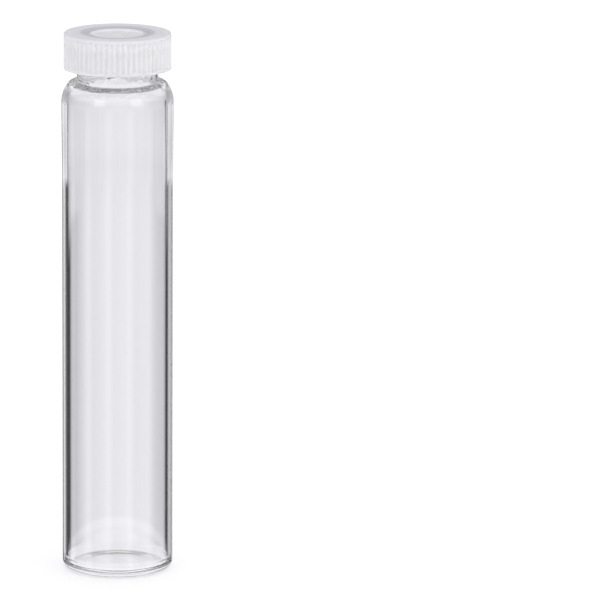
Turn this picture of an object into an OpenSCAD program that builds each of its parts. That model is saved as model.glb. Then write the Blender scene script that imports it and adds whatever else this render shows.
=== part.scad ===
// Glass sample vial: a tube of clear glass drawn in to a screw neck, closed by a
// ribbed plastic screw cap with a plug seal. Millimetres. The origin is the middle
// of the base and +Z is the axis of the vial.

/* [Glass body] */
// Outer diameter of the tube
body_d = 22; // [21.6:0.1:26]
// Height of the glass, from what it stands on to the rim
glass_h = 107.4; // [70:0.1:140]
// Wall thickness of the tube
wall_t = 1.0; // [0.8:0.05:1.1]
// Thickness of the floor
floor_t = 1.4; // [1:0.05:3]
// Outer radius where the tube turns into the base
base_round = 1.8; // [1:0.1:3]
// How far the middle of the base is pushed up
punt_h = 0.35; // [0.1:0.05:0.8]
// Diameter of the pushed-up part of the base
punt_d = 14.6; // [10:0.1:15]

/* [Shoulder and neck] */
// Distance from the rim down to the top of the shoulder
neck_h = 8.1; // [7:0.1:14]
// Outer diameter of the neck, without its thread
neck_d = 16.1; // [15.8:0.1:16.4]
// Diameter of the mouth
mouth_d = 13.1; // [12:0.1:13.4]
// Width of the shoulder's rounding, up to where it runs level to the neck
shoulder_w = 2.4; // [2:0.1:2.4]
// Radius of the shoulder's lower part, which leaves the tube gently
shoulder_side_r = 6; // [3:0.1:8]
// Radius of the shoulder's upper part
shoulder_top_r = 1.5; // [1.45:0.05:1.8]
// How much wider than the tube the shoulder is, on the radius
swell = 0.14; // [0.04:0.02:0.3]
// Length over which the tube widens to the shoulder
swell_l = 16; // [8:1:24]
// Radius of the hollow curve between shoulder and neck, where there is room for it
neck_fillet = 0.65; // [0.4:0.05:0.65]
// Rounding of the rim's two edges
rim_round = 0.45; // [0.2:0.05:0.55]

/* [Screw cap] */
// Outer diameter of the cap, over its ribs
cap_d = 21.4; // [20.8:0.1:22]
// Height of the cap
cap_h = 7.2; // [6.6:0.1:7.6]
// Thickness of the top plate
plate_t = 1.6; // [1.4:0.1:2]
// Inner diameter of the skirt, at the root of its thread
skirt_bore_d = 18; // [17.9:0.1:18.4]
// Number of grip ribs
ribs = 60; // [40:4:72]
// Depth of the grooves between the ribs
rib_depth = 0.28; // [0.15:0.01:0.35]
// Height of the plain band above the ribs
rib_band = 0.6; // [0.4:0.1:1.2]
// Height of the plain rim below the ribs
rib_foot = 0.6; // [0.4:0.1:1.2]
// Diameter of the shallow dish in the top
dish_d = 13; // [12:0.1:14]
// Depth of the dish
dish_depth = 0.2; // [0.1:0.05:0.3]
// Diameter of the flat in the middle of the dish
well_d = 10.3; // [8:0.1:11]
// How far the flat lies below the dish
well_depth = 0.25; // [0.1:0.05:0.3]

/* [Plug seal] */
// Gap between the plug and the mouth, on the radius
plug_gap = 0.05; // [0.03:0.01:0.1]
// Wall thickness of the plug
plug_t = 1.4; // [0.8:0.1:1.4]
// How far the plug reaches into the mouth
plug_h = 3; // [2:0.1:3.6]

/* [Hidden] */

$fn = 96;
past = 1;                 // how far a cutter runs past the face that it cuts

body_r = body_d / 2;
inner_r = body_r - wall_t;
neck_r = neck_d / 2;
mouth_r = mouth_d / 2;
shoulder_r = body_r + swell;
shoulder_top = glass_h - neck_h;

// The shoulder is two arcs in line with each other, around the points side and top
shoulder_a = acos((shoulder_side_r - shoulder_w) / (shoulder_side_r - shoulder_top_r));
top_x = shoulder_r - shoulder_w;
top_z = shoulder_top - shoulder_top_r;
side_x = shoulder_r - shoulder_side_r;
side_z = top_z - (shoulder_side_r - shoulder_top_r) * sin(shoulder_a);
shoulder_t = shoulder_r - inner_r;   // the wall keeps this thickness all over the shoulder
fillet_r = min(neck_fillet, top_x - neck_r);
swell_top = side_z - 1;
swell_steps = 8;

floor_round = 1.5;        // inside, where the wall turns into the floor
throat_round = 1.1;       // inside, where the shoulder turns into the neck
// Radius of the sphere that both faces of the pushed-up base belong to
punt_r = (pow(punt_d / 2, 2) + pow(punt_h, 2)) / (2 * punt_h);

cap_r = cap_d / 2;
cap_bottom = glass_h + plate_t - cap_h;
cap_top = glass_h + plate_t;
cap_edge = 0.35;          // rounding of the cap's top edge
skirt_edge = 0.3;         // chamfer of the skirt's outer lower edge
lead_in = 0.45;           // chamfer inside the skirt's lower edge
groove_r = 0.42;          // radius of each groove between two ribs
well_z = cap_top - dish_depth - well_depth;
gate_r = 0.7;             // moulding mark in the middle of the dish
gate_h = 0.12;

plug_r = mouth_r - plug_gap;
plug_bottom = glass_h - plug_h;
plug_lead = 0.5;          // the plug's end narrows by this, to enter the mouth
plug_lead_h = 1.0;

// What rounding takes off a corner at the origin, on material in its -x -y quadrant
module corner_off(r) {
    difference() {
        translate([-r, -r]) square(r + past);
        translate([-r, -r]) circle(r);
    }
}

// What fills a hollow corner at the origin, between a floor on -y and a wall on -x
module corner_fill(r) {
    difference() {
        square(r);
        translate([r, r]) circle(r);
    }
}

// The right half of a disc that the pushed-up base follows, its top at height top
module punt_disc(top) {
    intersection() {
        translate([0, top - punt_r]) circle(punt_r);
        translate([0, top - past]) square([body_r, 2 * past]);
    }
}

// Half outline of the shoulder, set in by this much from the outer face of the glass
module shoulder_outline(inset) {
    intersection() {
        translate([side_x, side_z]) circle(shoulder_side_r - inset);
        polygon([
            [side_x, side_z],
            [side_x + 2 * shoulder_side_r, side_z],
            [side_x, side_z] + 2 * shoulder_side_r * [cos(shoulder_a), sin(shoulder_a)]
        ]);
    }
    translate([top_x, top_z]) circle(shoulder_top_r - inset);
    translate([0, top_z - shoulder_side_r])
        square([top_x, shoulder_side_r + shoulder_top_r - inset]);
}

// Half outline of the glass as if it were solid
module glass_outside() {
    difference() {
        union() {
            polygon([
                [0, 0],
                [body_r, 0],
                for (i = [0 : swell_steps])
                    let (t = i / swell_steps)
                    [body_r + swell * (1 - cos(180 * t)) / 2, swell_top - swell_l * (1 - t)],
                [shoulder_r, side_z],
                [0, side_z]
            ]);
            shoulder_outline(0);
            square([neck_r, glass_h]);
            translate([neck_r, shoulder_top]) corner_fill(fillet_r);
        }
        translate([body_r, 0]) mirror([0, 1]) corner_off(base_round);
        translate([neck_r, glass_h]) corner_off(rim_round);
        punt_disc(punt_h);
    }
}

// Half outline of the space inside the glass
module glass_inside() {
    difference() {
        union() {
            difference() {
                translate([0, floor_t]) square([inner_r, side_z - floor_t]);
                translate([inner_r, floor_t]) mirror([0, 1]) corner_off(floor_round);
            }
            shoulder_outline(shoulder_t);
            translate([0, floor_t]) square([mouth_r, glass_h]);
            translate([mouth_r, shoulder_top - shoulder_t]) corner_fill(throat_round);
            translate([mouth_r, glass_h]) mirror([0, 1]) corner_fill(rim_round);
        }
        punt_disc(floor_t + punt_h);
    }
}

module glass_vial() {
    color([0.82, 0.9, 0.9, 0.45])
    rotate_extrude()
    difference() {
        glass_outside();
        glass_inside();
    }
}

// Half outline of the cap, without its ribs
module cap_outline() {
    difference() {
        translate([0, cap_bottom]) square([cap_r, cap_h]);
        translate([cap_r, cap_top]) corner_off(cap_edge);
        polygon([
            [cap_r - skirt_edge, cap_bottom],
            [cap_r, cap_bottom + skirt_edge],
            [cap_r + past, cap_bottom],
            [cap_r, cap_bottom - past]
        ]);
        // room for the neck and its thread
        translate([0, cap_bottom - past])
            square([skirt_bore_d / 2, glass_h - cap_bottom + past]);
        translate([skirt_bore_d / 2, cap_bottom])
            polygon([[-past, -past], [lead_in, -past], [lead_in, 0], [0, lead_in], [-past, lead_in]]);
        translate([0, cap_top - dish_depth]) square([dish_d / 2, dish_depth + past]);
        translate([0, well_z]) square([well_d / 2, well_depth + past]);
    }
    polygon([
        [plug_r - plug_t, plug_bottom],
        [plug_r - plug_lead, plug_bottom],
        [plug_r, plug_bottom + plug_lead_h],
        [plug_r, glass_h + plate_t / 2],
        [plug_r - plug_t, glass_h + plate_t / 2]
    ]);
    translate([0, well_z - gate_h]) square([gate_r, 2 * gate_h]);
}

// Grooves that leave the grip ribs standing, from the plain rim up to the plain band
module rib_grooves() {
    for (i = [0 : ribs - 1])
        rotate(360 * i / ribs)
        translate([cap_r + groove_r - rib_depth, 0, cap_bottom + rib_foot])
        cylinder(r = groove_r, h = cap_h - rib_band - rib_foot);
}

module screw_cap() {
    color([0.9, 0.91, 0.93, 0.8])
    difference() {
        rotate_extrude() cap_outline();
        rib_grooves();
    }
}

glass_vial();
screw_cap();
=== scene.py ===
"""Glass sample vial: clear glass and a translucent screw cap, both with their thread, on a white sweep."""

import math

import bmesh
import bpy
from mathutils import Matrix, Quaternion, Vector


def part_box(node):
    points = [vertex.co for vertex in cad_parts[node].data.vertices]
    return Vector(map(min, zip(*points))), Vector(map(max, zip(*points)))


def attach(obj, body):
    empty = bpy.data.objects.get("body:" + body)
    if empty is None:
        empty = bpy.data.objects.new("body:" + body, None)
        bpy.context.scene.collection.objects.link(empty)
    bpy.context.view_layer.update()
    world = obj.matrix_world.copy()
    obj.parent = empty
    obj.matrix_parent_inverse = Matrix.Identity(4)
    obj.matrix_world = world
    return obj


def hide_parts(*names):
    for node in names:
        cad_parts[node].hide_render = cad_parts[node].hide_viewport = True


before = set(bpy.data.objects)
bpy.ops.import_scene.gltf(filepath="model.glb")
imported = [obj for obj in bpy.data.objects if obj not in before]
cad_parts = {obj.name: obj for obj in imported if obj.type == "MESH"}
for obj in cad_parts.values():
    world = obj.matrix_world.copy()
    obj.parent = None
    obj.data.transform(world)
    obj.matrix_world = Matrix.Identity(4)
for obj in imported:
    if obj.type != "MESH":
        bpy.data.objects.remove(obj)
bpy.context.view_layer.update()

MM = 0.001
SAME = 0.01 * MM                     # radii that differ by less than this count as the same

# The frame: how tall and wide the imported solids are
glass_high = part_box("glass_vial")[1]
cap_low, cap_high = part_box("screw_cap")
rim_z = glass_high.z
shoulder_r = glass_high.x
cap_r = cap_high.x
cap_top = cap_high.z
cap_bottom = cap_low.z

# Glass, as in the solids
tube_r = 11.0 * MM
wall = 1.0 * MM
floor_t = 1.4 * MM
floor_round = 1.5 * MM               # inside, where the wall turns into the floor
base_round = 1.8 * MM
base_flat = 0.4 * MM                 # level stretch next to a curve of the base or the floor
barrel_z = 5 * MM                    # a height at which the tube is straight
punt_h = 0.35 * MM                   # how far the middle of the base is pushed up
punt_r = 7.3 * MM
neck_r = 8.05 * MM
neck_fillet = 0.65 * MM
mouth_r = 6.55 * MM
rim_round = 0.45 * MM
throat_round = 1.1 * MM              # inside, where the shoulder turns into the neck
shoulder_z = rim_z - 8.1 * MM
shoulder_w = 2.4 * MM
shoulder_side_r = 6.0 * MM
shoulder_top_r = 1.5 * MM
shoulder_wall = shoulder_r - (tube_r - wall)
roof_z = shoulder_z - shoulder_wall
swell_length = 16 * MM               # over which the tube widens to the shoulder
swell_gap = 1 * MM                   # straight stretch between that and the shoulder's first arc

# Thread: one right-handed helix that neck and cap share, the cap's ridge half a pitch above the neck's
pitch = 3.1 * MM
thread_foot = rim_z - 7.0 * MM
neck_ridge = 0.78 * MM               # how far the ridge stands out
neck_ridge_w = 0.95 * MM             # half its width
neck_turns = 1.85
cap_ridge = 0.62 * MM
cap_ridge_w = 0.62 * MM
cap_turns = 1.6
ridge_fade = 0.12                    # turns over which a ridge rises at its ends

# Cap, as in the solids, with its small edges rounded
plate_under = rim_z + 0.02 * MM      # a hair above the rim, so that the two surfaces don't coincide
skirt_bore_r = 9.0 * MM
lead_in = 0.45 * MM
top_edge = 0.35 * MM
skirt_edge = 0.25 * MM
rib_count = 60
rib_depth = 0.28 * MM
rib_cut_r = 0.42 * MM                # radius of the groove between two ribs
rib_top = cap_top - 0.6 * MM
rib_foot = cap_bottom + 0.6 * MM
rib_end = 0.12 * MM                  # height over which a groove runs out
rib_end_zone = 0.2 * MM              # height of the fine mesh at a groove's end
grip_from = cap_r - 0.4 * MM         # radius beyond which the grooves cut into the outline
dish_r = 6.5 * MM
dish_z = cap_top - 0.2 * MM
well_r = 5.15 * MM
well_z = dish_z - 0.25 * MM
step_w = 0.1 * MM                    # half the width of the slopes round the dish and the well
gate_r = 0.7 * MM                    # moulding mark in the middle of the dish
gate_side = 0.15 * MM                # width of its sloping side
gate_z = well_z + 0.1 * MM
plug_r = 6.5 * MM
plug_bore_r = 5.1 * MM
plug_bottom = rim_z - 3.0 * MM
plug_lead = 0.5 * MM                 # the plug's end narrows by this
plug_lead_h = 1.0 * MM

# Fineness of the meshes: sides round the axis, degrees of an arc, and the longest stretch of the outline
GLASS_SIDES = 240
CAP_SIDES = 9 * rib_count
GLASS_ARC = 11
CAP_ARC = 18
ARC_STEPS = 3                        # the fewest in an arc
GUARD = 0.18                         # from an arc's end to its guard point, as a share of its radius
GLASS_STEP = 2.5 * MM
CAP_STEP = 1.5 * MM
NECK_THREAD_STEP = 0.09 * MM
CAP_THREAD_STEP = 0.12 * MM
RIB_END_STEP = 0.08 * MM


# ---------------------------------------------------------------- outlines

def rounded(corners, step_deg):
    """(radius, height) points with each corner (r, z, rounding) drawn as an arc, and a guard point on
    each side of it that keeps the straight stretches straight under smooth shading."""
    points = []
    for i, corner in enumerate(corners):
        here = Vector(corner[:2])
        rounding = corner[2] if len(corner) > 2 else 0
        if not rounding:
            points.append(here)
            continue
        back = (Vector(corners[i - 1][:2]) - here).normalized()
        ahead = (Vector(corners[i + 1][:2]) - here).normalized()
        opening = back.angle(ahead)
        reach = rounding / math.tan(opening / 2)
        centre = here + (back + ahead).normalized() * rounding / math.sin(opening / 2)
        start = here + back * reach - centre
        end = here + ahead * reach - centre
        turn = start.angle_signed(end)
        steps = max(ARC_STEPS, round(abs(math.degrees(turn)) / step_deg))
        guard = rounding * GUARD
        points.append(here + back * (reach + guard))
        for k in range(steps + 1):
            angle = -turn * k / steps
            points.append(centre + Vector((
                start.x * math.cos(angle) - start.y * math.sin(angle),
                start.x * math.sin(angle) + start.y * math.cos(angle),
            )))
        points.append(here + ahead * (reach + guard))
    return points


def divided(points, longest):
    """The same outline with no stretch longer than longest(radius, height) allows at its middle."""
    result = [points[0]]
    for a, b in zip(points, points[1:]):
        pieces = max(1, math.ceil((b - a).length / longest(*((a + b) / 2))))
        result += [a.lerp(b, k / pieces) for k in range(1, pieces + 1)]
    return result


def lathe(name, outline, sides, shape):
    """A closed surface of revolution about Z from an outline that starts and ends on the axis.
    shape(radius, height, angle) gives the radius there."""
    bm = bmesh.new()
    rings = []
    for point in outline:
        if point.x < SAME:
            rings.append([bm.verts.new((0, 0, point.y))])
            continue
        ring = []
        for k in range(sides):
            angle = 2 * math.pi * k / sides
            r = shape(point.x, point.y, angle)
            ring.append(bm.verts.new((r * math.cos(angle), r * math.sin(angle), point.y)))
        rings.append(ring)
    for low, high in zip(rings, rings[1:]):
        for k in range(sides):
            n = (k + 1) % sides
            corners = [low[k % len(low)], low[n % len(low)], high[n % len(high)], high[k % len(high)]]
            bm.faces.new(list(dict.fromkeys(corners)))
    bmesh.ops.recalc_face_normals(bm, faces=bm.faces)
    mesh = bpy.data.meshes.new(name)
    bm.to_mesh(mesh)
    bm.free()
    mesh.shade_smooth()
    piece = bpy.data.objects.new(name, mesh)
    bpy.context.scene.collection.objects.link(piece)
    return piece


def smooth_step(t):
    t = min(max(t, 0), 1)
    return t * t * (3 - 2 * t)


def ridge(z, angle, first, turns, half_width):
    """Height from 0 to 1 of a thread ridge that winds up from first by so many turns."""
    best = 0
    for lap in range(-1, math.ceil(turns) + 1):
        along = lap + angle / (2 * math.pi)
        if not 0 <= along <= turns:
            continue
        away = abs(z - first - pitch * along) / half_width
        if away < 1:
            ends = smooth_step(along / ridge_fade) * smooth_step((turns - along) / ridge_fade)
            best = max(best, ends * 0.5 * (1 + math.cos(math.pi * away)))
    return best


# ---------------------------------------------------------------- pieces

def dome(height, outward):
    """The pushed-up middle of the base or floor, from the axis out to punt_r at this height, or back."""
    steps = 6
    points = []
    for k in range(steps + 1):
        t = k / steps
        points.append(Vector((punt_r * t, height + punt_h * (1 - t ** 2))))
    return points if outward else points[::-1]


def swelling(top):
    """The outer face of the tube where it widens towards the shoulder, up to this height."""
    steps = 8
    swell = shoulder_r - tube_r
    points = []
    for k in range(steps + 1):
        t = k / steps
        radius = tube_r + swell * (1 - math.cos(math.pi * t)) / 2
        points.append(Vector((radius, top - swell_length * (1 - t))))
    return points


def shoulder(inset=0.0):
    """Two arcs in line with each other: a wide one that leaves the tube and a tight one that ends level.
    With an inset they run inside the glass, that far from its outer face."""
    steps = 9
    turn = math.acos((shoulder_side_r - shoulder_w) / (shoulder_side_r - shoulder_top_r))
    top = Vector((shoulder_r - shoulder_w, shoulder_z - shoulder_top_r))
    side = top - Vector((math.cos(turn), math.sin(turn))) * (shoulder_side_r - shoulder_top_r)
    points = []
    for k in range(steps + 1):
        angle = turn * k / steps
        points.append(side + Vector((math.cos(angle), math.sin(angle))) * (shoulder_side_r - inset))
    for k in range(1, steps):
        angle = turn + (math.pi / 2 - turn) * k / steps
        points.append(top + Vector((math.cos(angle), math.sin(angle))) * (shoulder_top_r - inset))
    return points


def make_glass():
    curve = shoulder()
    swell_top = curve[0].y - swell_gap
    outline = dome(0, True) + rounded([
        (tube_r - base_round - base_flat, 0),
        (tube_r, 0, base_round),
        (tube_r, barrel_z),
    ], GLASS_ARC) + swelling(swell_top) + curve + rounded([
        (shoulder_r - shoulder_w, shoulder_z),
        (neck_r, shoulder_z, neck_fillet),
        (neck_r, rim_z, rim_round),
        (mouth_r, rim_z, rim_round),
        (mouth_r, roof_z, throat_round),
        (shoulder_r - shoulder_w, roof_z),
    ], GLASS_ARC) + shoulder(shoulder_wall)[::-1] + rounded([
        (tube_r - wall, swell_top),
        (tube_r - wall, floor_t, floor_round),
        (punt_r + base_flat, floor_t),
    ], GLASS_ARC) + dome(floor_t, False)

    def on_thread(r, z):
        return abs(r - neck_r) < SAME and z > shoulder_z

    def longest(r, z):
        return NECK_THREAD_STEP if on_thread(r, z) else GLASS_STEP

    def shape(r, z, angle):
        if on_thread(r, z):
            return r + neck_ridge * ridge(z, angle, thread_foot, neck_turns, neck_ridge_w)
        return r

    return lathe("vial_glass", divided(outline, longest), GLASS_SIDES, shape)


def make_cap():
    outline = [Vector((0, gate_z))] + rounded([
        (gate_r, gate_z, 0.08 * MM),
        (gate_r + gate_side, well_z, 0.1 * MM),
        (well_r - step_w, well_z, 0.12 * MM),
        (well_r + step_w, dish_z, 0.1 * MM),
        (dish_r - step_w, dish_z, 0.1 * MM),
        (dish_r + step_w, cap_top, 0.12 * MM),
        (cap_r, cap_top, top_edge),
        (cap_r, rib_top),
        (cap_r, rib_top - rib_end_zone),
        (cap_r, rib_foot + rib_end_zone),
        (cap_r, rib_foot),
        (cap_r, cap_bottom, skirt_edge),
        (skirt_bore_r + lead_in, cap_bottom, 0.12 * MM),
        (skirt_bore_r, cap_bottom + lead_in, 0.12 * MM),
        (skirt_bore_r, plate_under, 0.3 * MM),
        (plug_r, plate_under, 0.15 * MM),
        (plug_r, plug_bottom + plug_lead_h, 0.4 * MM),
        (plug_r - plug_lead, plug_bottom, 0.15 * MM),
        (plug_bore_r, plug_bottom, 0.15 * MM),
        (plug_bore_r, plate_under, 0.3 * MM),
        (0, plate_under),
    ], CAP_ARC)

    def on_thread(r):
        return abs(r - skirt_bore_r) < SAME

    def at_rib_end(r, z):
        if r < cap_r - SAME:
            return False
        return rib_top - rib_end_zone < z < rib_top or rib_foot < z < rib_foot + rib_end_zone

    def longest(r, z):
        if on_thread(r):
            return CAP_THREAD_STEP
        return RIB_END_STEP if at_rib_end(r, z) else CAP_STEP

    def groove(angle):
        """How far the grip is cut in at this angle, by a round groove between each two ribs."""
        across = ((angle / (2 * math.pi) * rib_count + 0.5) % 1 - 0.5) * 2 * math.pi / rib_count * cap_r
        middle = rib_cut_r - rib_depth
        if abs(across) >= math.sqrt(rib_cut_r ** 2 - middle ** 2):
            return 0
        return math.sqrt(rib_cut_r ** 2 - across ** 2) - middle

    def shape(r, z, angle):
        if on_thread(r):
            return r - cap_ridge * ridge(z, angle, thread_foot + pitch / 2, cap_turns, cap_ridge_w)
        if r > grip_from:
            depth = groove(angle) * smooth_step(min(rib_top - z, z - rib_foot) / rib_end)
            return min(r, cap_r - depth)
        return r

    return lathe("ribbed_cap", divided(outline, longest), CAP_SIDES, shape)


# ---------------------------------------------------------------- nodes

def new_material(name):
    material = bpy.data.materials.new(name)
    material.use_nodes = True
    material.node_tree.nodes.clear()
    return material, material.node_tree


def add(tree, kind, **settings):
    """A node with its settings. The names of inputs are written with _ for a space, or as i0, i1 and so on
    for their numbers; an input is linked where the value is another node's output."""
    node = tree.nodes.new("ShaderNode" + kind)
    for name, value in settings.items():
        if name in ("operation", "data_type", "interpolation_type"):
            setattr(node, name, value)
            continue
        key = int(name[1:]) if name[0] == "i" and name[1:].isdigit() else name.replace("_", " ")
        if isinstance(value, bpy.types.NodeSocket):
            tree.links.new(value, node.inputs[key])
        else:
            node.inputs[key].default_value = value
    return node


def math_node(tree, operation, a, b=0.0):
    return add(tree, "Math", operation=operation, i0=a, i1=b).outputs[0]


def times(tree, a, b):
    return math_node(tree, "MULTIPLY", a, b)


def opposite(tree, value):
    """0 for 1 and 1 for 0."""
    return math_node(tree, "SUBTRACT", 1.0, value)


def between(tree, amount, a, b):
    """a where amount is 0, b where it is 1."""
    return add(tree, "Mix", data_type="FLOAT", i0=amount, i2=a, i3=b).outputs[0]


def mixed(tree, amount, a, b):
    """Colour a where amount is 0, colour b where it is 1."""
    return add(tree, "Mix", data_type="RGBA", i0=amount, i6=a, i7=b).outputs[2]


def rise(tree, value, low, high):
    """0 below low, 1 above high, and smooth between them."""
    node = add(tree, "MapRange", interpolation_type="SMOOTHSTEP", Value=value, From_Min=low, From_Max=high)
    return node.outputs[0]


# ---------------------------------------------------------------- materials

# Glass: drawing lines run along the tube, and forming leaves waves in the shoulder and the neck
LINES_SCALE = (700.0, 700.0, 14.0)
LINES_DEPTH = 0.02 * MM
WAVES_SCALE = 520.0
WAVES_DEPTH = 0.15 * MM
FORMED_FROM = (shoulder_z - 2.6 * MM, shoulder_z - 0.2 * MM)

# Cap: the milky plastic is a mix of two colours in soft clouds. Its top has painted shade where the plug and
# the rim of the glass lie behind it, less of it further out, and its upper edge has painted shade too.
MILKY = ((0.975, 0.972, 0.99, 1), (0.992, 0.989, 1.0, 1))
SHADE_PAINTED_OVER_RIM = (0.6, 0.6, 0.63, 1)
SHADE_PAINTED_OVER_SKIRT = (0.84, 0.84, 0.87, 1)
SHADE_PAINTED_EDGE = (0.7, 0.7, 0.73, 1)
CLOUDS_SCALE = 260.0
GRAIN_SCALE = 2600.0
GRAIN_DEPTH = 0.03 * MM
ROUGHNESS = (0.07, 0.13)
SCATTER = (5.0 * MM, 1.8 * MM)       # how far light spreads: in the skirt, and in the plate inside it
# Radii and heights between which each of these begins
PAINTED_SHADE_FROM = (5.1 * MM, 5.7 * MM)
FURTHER_OUT = (7.0 * MM, 7.8 * MM)
SKIRT_FROM = (10.0 * MM, 10.4 * MM)
TOP_FROM = (cap_top - 0.8 * MM, cap_top - 0.5 * MM)
SHADE_PAINTED_EDGE_FROM = (cap_top - 2.2 * MM, cap_top - 0.4 * MM)
PLATE_FROM = (cap_top - 1.2 * MM, cap_top - 0.5 * MM)


def glass_material():
    material, tree = new_material("clear_glass")
    place = tree.nodes.new("ShaderNodeTexCoord").outputs["Object"]
    drawn = add(tree, "Mapping", Vector=place, Scale=LINES_SCALE)
    lines = add(tree, "TexNoise", Vector=drawn.outputs[0], Scale=1.0, Detail=2.0)
    bump = add(tree, "Bump", Height=lines.outputs[0], Strength=0.02, Distance=LINES_DEPTH)
    height = add(tree, "SeparateXYZ", Vector=place).outputs[2]
    waves = add(tree, "TexNoise", Vector=place, Scale=WAVES_SCALE, Detail=1.0)
    waves = times(tree, waves.outputs[0], rise(tree, height, *FORMED_FROM))
    bump = add(tree, "Bump", Height=waves, Strength=1.0, Distance=WAVES_DEPTH, Normal=bump.outputs[0])
    shader = add(
        tree, "BsdfPrincipled", Base_Color=(0.99, 0.988, 0.992, 1), Roughness=0.0, IOR=1.5,
        Transmission_Weight=1.0, Normal=bump.outputs[0],
    )
    add(tree, "OutputMaterial", Surface=shader.outputs[0])
    return material


def cap_material():
    material, tree = new_material("natural_plastic")
    place = tree.nodes.new("ShaderNodeTexCoord").outputs["Object"]
    height = add(tree, "SeparateXYZ", Vector=place).outputs[2]
    flat = add(tree, "VectorMath", operation="MULTIPLY", i0=place, i1=(1.0, 1.0, 0.0)).outputs[0]
    radius = add(tree, "VectorMath", operation="LENGTH", i0=flat).outputs["Value"]

    clouds = add(tree, "TexNoise", Vector=place, Scale=CLOUDS_SCALE, Detail=3.0).outputs[0]
    # Painted shade on the top: darker over the plug and the glass rim beneath the plate, lighter further out
    painted_shade_mask = times(tree, rise(tree, radius, *PAINTED_SHADE_FROM), rise(tree, height, *TOP_FROM))
    painted_top_shade = mixed(tree, rise(tree, radius, *FURTHER_OUT), SHADE_PAINTED_OVER_RIM, SHADE_PAINTED_OVER_SKIRT)
    colour = mixed(tree, painted_shade_mask, mixed(tree, clouds, *MILKY), painted_top_shade)
    in_skirt = rise(tree, radius, *SKIRT_FROM)
    # Painted shade on the skirt's upper edge, which the light from above would otherwise make bright
    colour = mixed(tree, times(tree, in_skirt, rise(tree, height, *SHADE_PAINTED_EDGE_FROM)), colour, SHADE_PAINTED_EDGE)

    in_plate = times(tree, rise(tree, height, *PLATE_FROM), opposite(tree, in_skirt))
    scatter = between(tree, in_plate, *SCATTER)
    grain = add(tree, "TexNoise", Vector=place, Scale=GRAIN_SCALE, Detail=2.0)
    bump = add(tree, "Bump", Height=grain.outputs[0], Strength=0.05, Distance=GRAIN_DEPTH)
    rough = add(tree, "MapRange", Value=clouds, To_Min=ROUGHNESS[0], To_Max=ROUGHNESS[1])
    shader = add(
        tree, "BsdfPrincipled", Base_Color=colour, Roughness=rough.outputs[0], IOR=1.49,
        Subsurface_Weight=1.0, Subsurface_Scale=scatter, Subsurface_Radius=(1.0, 1.0, 1.0),
        Normal=bump.outputs[0],
    )
    add(tree, "OutputMaterial", Surface=shader.outputs[0])
    return material


# ---------------------------------------------------------------- studio

# What the glass shows of the studio: a white sweep, and soft black flags round the vial, one every 45
# degrees, that draw its edges. Known fault: that works only from about 12 to 15 degrees up and within about 6
# degrees of a multiple of 45 round it. From 14 to 30 degrees past each of those the flags show through the
# tube as a broad dark band, from level as a grey one, and from 20 degrees up they draw nothing.
# Each list is (degrees round the vial, level), where the camera of the main view looks along 0. STRAIGHT is
# what shows through the glass, IN_WALL what it mirrors inside a wall, OUTSIDE what its surface mirrors. The
# height of a ray is the z of its direction, which has length 1.
FLAG_PERIOD = 45
STRAIGHT = [(0, 0.98), (3, 0.96), (5, 0.88), (7, 0.78), (12, 0.74), (15, 0.63), (18.5, 0.03),
            (28, 0.03), (30, 0.25), (32, 0.6), (36, 0.7), (38, 0.77), (41, 0.9), (45, 0.98)]
IN_WALL = [(0, 0.03), (9, 0.02), (12, 0.1), (21, 0.85), (34, 0.55), (37, 0.5), (40, 0.1), (45, 0.03)]
OUTSIDE = [(0, 0.1), (10, 0.1), (14, 0.9), (24, 0.9), (27, 0.1), (45, 0.1)]
DEEPER = 0.08                        # level where light is mirrored after more than three refractions
OVER_FLAG = 0.88                     # level above a flag's top
# The flags are drawn in a band of ray heights. In it, their tops lie at the first height where they draw the
# vial's outline, and elsewhere at the second, or the third in a wall.
FLAG_BAND_FROM = (-0.28, -0.25)      # heights between which the band begins
FLAG_BAND_TO = (-0.17, -0.13)        # and between which it ends
FLAG_TOPS = (-0.16, -0.2, -0.187)
TOP_BLUR = 0.005                     # half the height over which a top fades
OUTLINE_FROM = (15.5, 17)            # degrees between which the outline begins in STRAIGHT
OUTLINE_TO = (20.5, 22)              # and between which it ends there
WALL_OUTLINE_TO = (1, 3)             # and between which it ends in IN_WALL
DIMMED_FROM = (-0.2, -0.178)         # heights between which STRAIGHT begins to be dimmed, to this share
DIMMED = 0.94

SWEEP = (0.92, 0.4, 0.9)             # level outside the band: straight, mirrored, and mirrored deeper
TABLE = 0.98                         # level of the table under the vial, where it is mirrored
TABLE_TO = (-0.32, -0.28)            # heights between which that ends
CEILING = 1.0                        # level overhead, where it is mirrored
CEILING_FROM = (0.08, 0.3)           # heights between which that begins
BACKDROP = 0.5                       # level above the horizon, as matt gloss mirrors it
HORIZON = (0.0, 0.12)                # heights between which that begins

SOFT = 0.87                          # level of the light round the object
OVERHEAD = 1.24                      # what it is overhead, as a share of that
SIDES = (0.42, 0.72)                 # what it is on the left and on the right, as shares of it
OVERHEAD_FROM = (0.0, 0.6)           # z of the directions between which it gets there
LEFT_TO = (-0.9, -0.2)               # x of the directions between which the left ends
RIGHT_FROM = (0.1, 0.9)              # and between which the right begins
SOFT_TINT = (0.965, 0.957, 1.0, 1)
GLASS_TINT = (0.972, 0.966, 1.0, 1)  # of what the glass shows
WHITE = (1, 1, 1, 1)

FLOOR_HALF = 20                      # metres
FLOOR_GAP = 0.02 * MM
TABLE_COLOUR = (0.9, 0.9, 0.9, 1)    # the floor as it lights the object
TABLE_GLOW = 0.3
PAPER_COLOUR = (0.45, 0.45, 0.45, 1)  # the floor as the camera sees it, which keeps the shadow
PAPER_GLOW = 0.66
FAR_FLOOR = (0.82, 0.5)              # level of the far floor, straight and mirrored
FAR_FLOOR_MATT = 0.96                # and in matt gloss
FAR_FROM = (0.62, 0.75)              # metres from the vial between which the far floor begins

LAMP_AIM = Vector((0, 0, 50 * MM))


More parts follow.
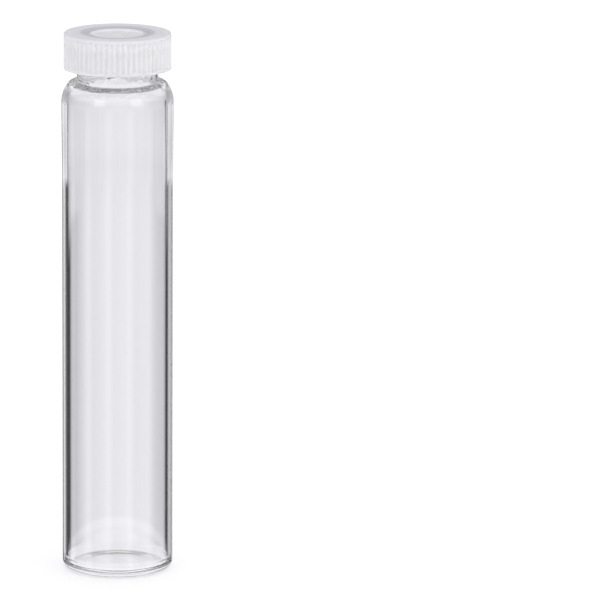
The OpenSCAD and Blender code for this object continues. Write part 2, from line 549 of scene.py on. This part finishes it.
def ramp(tree, value, stops):
    """The level that the stops give at a share of FLAG_PERIOD."""
    node = add(tree, "ValToRGB", Fac=value)
    elements = node.color_ramp.elements
    while len(elements) > 1:
        elements.remove(elements[-1])
    for k, (degrees, level) in enumerate(stops):
        share = degrees / FLAG_PERIOD
        stop = elements[0] if k == 0 else elements.new(share)
        stop.position = share
        stop.color = (level, level, level, 1)
    return node.outputs[0]


def rise_degrees(tree, turn, low, high):
    """rise() for a share of FLAG_PERIOD and two angles."""
    return rise(tree, turn, low / FLAG_PERIOD, high / FLAG_PERIOD)


def mirrored(tree):
    """1 for rays that were mirrored on their way, and 0 for those that were only refracted."""
    path = tree.nodes.new("ShaderNodeLightPath").outputs
    return math_node(tree, "MINIMUM", path["Glossy Depth"], 1.0)


def clear_path(tree):
    """1 for rays that show the studio in mirrored or refracted light."""
    path = tree.nodes.new("ShaderNodeLightPath").outputs
    return math_node(tree, "MAXIMUM", path["Is Glossy Ray"], path["Is Transmission Ray"])


def make_world():
    world = bpy.data.worlds.new("studio")
    bpy.context.scene.world = world
    world.use_nodes = True
    tree = world.node_tree
    tree.nodes.clear()
    path = tree.nodes.new("ShaderNodeLightPath").outputs
    direction = tree.nodes.new("ShaderNodeTexCoord").outputs["Generated"]
    east, north, height = add(tree, "SeparateXYZ", Vector=direction).outputs
    angle = math_node(tree, "DEGREES", math_node(tree, "ARCTAN2", east, north))
    turn = math_node(tree, "DIVIDE", math_node(tree, "ADD", angle, 360.0), FLAG_PERIOD)
    turn = math_node(tree, "FRACT", turn)

    # The band of the flags, as it shows through the glass
    over = [times(tree, OVER_FLAG, rise(tree, height, top - TOP_BLUR, top + TOP_BLUR)) for top in FLAG_TOPS]
    before = opposite(tree, rise_degrees(tree, turn, *OUTLINE_FROM))
    elsewhere = math_node(tree, "MAXIMUM", before, rise_degrees(tree, turn, *OUTLINE_TO))
    top = between(tree, elsewhere, over[0], over[1])
    straight = math_node(tree, "MAXIMUM", ramp(tree, turn, STRAIGHT), top)
    straight = times(tree, straight, between(tree, rise(tree, height, *DIMMED_FROM), 1.0, DIMMED))

    # The band as the glass mirrors it: on its surface, in a wall, and deeper
    elsewhere = rise_degrees(tree, turn, *WALL_OUTLINE_TO)
    top = between(tree, elsewhere, over[0], over[2])
    in_wall = math_node(tree, "MAXIMUM", ramp(tree, turn, IN_WALL), top)
    refracted = path["Transmission Depth"]
    inside = math_node(tree, "MINIMUM", refracted, 1.0)
    bent_back = between(tree, inside, ramp(tree, turn, OUTSIDE), in_wall)
    deeper = math_node(tree, "GREATER_THAN", refracted, 3.0)
    bent_back = between(tree, deeper, bent_back, DEEPER)
    flags = between(tree, mirrored(tree), straight, bent_back)

    # What the glass shows below and above the band
    upward = between(tree, rise(tree, height, *CEILING_FROM), SWEEP[1], CEILING)
    shallow = between(tree, rise(tree, height, *TABLE_TO), TABLE, upward)
    sweep = between(tree, mirrored(tree), SWEEP[0], between(tree, deeper, shallow, SWEEP[2]))
    above = rise(tree, height, *FLAG_BAND_TO)
    below = opposite(tree, rise(tree, height, *FLAG_BAND_FROM))
    sharp = between(tree, math_node(tree, "MAXIMUM", above, below), flags, sweep)

    # Matt gloss mirrors the flags up to the horizon, and an even backdrop above it
    matt = between(tree, rise(tree, height, *HORIZON), straight, BACKDROP)
    level = between(tree, path["Is Singular Ray"], matt, sharp)
    around = add(tree, "Background", Color=GLASS_TINT, Strength=level)

    # The light on the object
    level = between(tree, rise(tree, height, *OVERHEAD_FROM), SOFT, SOFT * OVERHEAD)
    left = between(tree, rise(tree, east, *LEFT_TO), SIDES[0], 1.0)
    right = between(tree, rise(tree, east, *RIGHT_FROM), 1.0, SIDES[1])
    level = times(tree, level, times(tree, left, right))
    soft = add(tree, "Background", Color=SOFT_TINT, Strength=level)

    white = add(tree, "Background", Color=WHITE, Strength=1.0)
    lit = add(tree, "MixShader", i0=clear_path(tree), i1=soft.outputs[0], i2=around.outputs[0])
    shown = add(tree, "MixShader", i0=path["Is Camera Ray"], i1=lit.outputs[0], i2=white.outputs[0])
    add(tree, "OutputWorld", Surface=shown.outputs[0])


def make_floor():
    """A white floor that keeps the shadow. The glass looks through its middle at the world, and sees the
    floor itself further out."""
    mesh = bpy.data.meshes.new("floor")
    corners = [(-FLOOR_HALF, -FLOOR_HALF, 0), (FLOOR_HALF, -FLOOR_HALF, 0),
               (FLOOR_HALF, FLOOR_HALF, 0), (-FLOOR_HALF, FLOOR_HALF, 0)]
    mesh.from_pydata(corners, [], [(0, 1, 2, 3)])
    floor = bpy.data.objects.new("floor", mesh)
    bpy.context.scene.collection.objects.link(floor)
    floor.location.z = -FLOOR_GAP
    material, tree = new_material("white_floor")
    path = tree.nodes.new("ShaderNodeLightPath").outputs
    place = tree.nodes.new("ShaderNodeTexCoord").outputs["Object"]

    table = add(tree, "BsdfDiffuse", Color=TABLE_COLOUR)
    glow = add(tree, "Emission", Strength=TABLE_GLOW)
    lit = add(tree, "AddShader", i0=table.outputs[0], i1=glow.outputs[0])
    shaded = add(tree, "BsdfDiffuse", Color=PAPER_COLOUR)
    glow = add(tree, "Emission", Color=WHITE, Strength=PAPER_GLOW)
    paper = add(tree, "AddShader", i0=shaded.outputs[0], i1=glow.outputs[0])

    level = between(tree, mirrored(tree), *FAR_FLOOR)
    level = between(tree, path["Is Singular Ray"], FAR_FLOOR_MATT, level)
    sweep = add(tree, "Emission", Color=GLASS_TINT, Strength=level)
    through = add(tree, "BsdfTransparent")
    radius = add(tree, "VectorMath", operation="LENGTH", i0=place).outputs["Value"]
    far = rise(tree, radius, *FAR_FROM)
    seen = add(tree, "MixShader", i0=far, i1=through.outputs[0], i2=sweep.outputs[0])
    plain = add(tree, "MixShader", i0=clear_path(tree), i1=lit.outputs[0], i2=seen.outputs[0])
    shown = add(tree, "MixShader", i0=path["Is Camera Ray"], i1=plain.outputs[0], i2=paper.outputs[0])
    add(tree, "OutputMaterial", Surface=shown.outputs[0])
    material.cycles.emission_sampling = "NONE"
    mesh.materials.append(material)


def make_lamp(name, size, watts, place):
    """A square area lamp that is turned to the middle of the vial."""
    light = bpy.data.lights.new(name, "AREA")
    light.shape = "SQUARE"
    light.size = size
    light.energy = watts
    lamp = bpy.data.objects.new(name, light)
    bpy.context.scene.collection.objects.link(lamp)
    lamp.location = place
    lamp.rotation_mode = "QUATERNION"
    lamp.rotation_quaternion = (LAMP_AIM - Vector(place)).to_track_quat("-Z", "Y")


def make_camera():
    """Looks down on the vial from 12 degrees and 1.5 m away, panned so that it stands left in the frame."""
    elevation = math.radians(12)
    distance = 1.5
    pan = math.radians(-1.392)
    aim = Vector((0, 0, 54.76 * MM))
    data = bpy.data.cameras.new("camera")
    data.lens = 450.5
    data.sensor_width = 36
    data.clip_end = 50
    camera = bpy.data.objects.new("camera", data)
    bpy.context.scene.collection.objects.link(camera)
    bpy.context.scene.camera = camera
    away = Vector((0, -math.cos(elevation), math.sin(elevation)))
    camera.location = aim + away * distance
    camera.rotation_mode = "QUATERNION"
    facing = (-away).to_track_quat("-Z", "Y")
    camera.rotation_quaternion = facing @ Quaternion((0, 1, 0), pan)


# ---------------------------------------------------------------- scene

glass = make_glass()
glass.data.materials.append(glass_material())
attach(glass, "vial")
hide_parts("glass_vial")

cap = make_cap()
cap.data.materials.append(cap_material())
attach(cap, "cap")
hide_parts("screw_cap")

make_world()
make_floor()
make_lamp("key", size=0.42, watts=0.62, place=(0.59, -0.65, 0.35))
make_lamp("fill", size=0.38, watts=0.6, place=(-0.56, -0.67, 0.35))
make_camera()

scene = bpy.context.scene
scene.view_settings.view_transform = "Standard"
scene.cycles.diffuse_bounces = 24
scene.cycles.max_bounces = 64
scene.cycles.transmission_bounces = 64
scene.cycles.glossy_bounces = 64
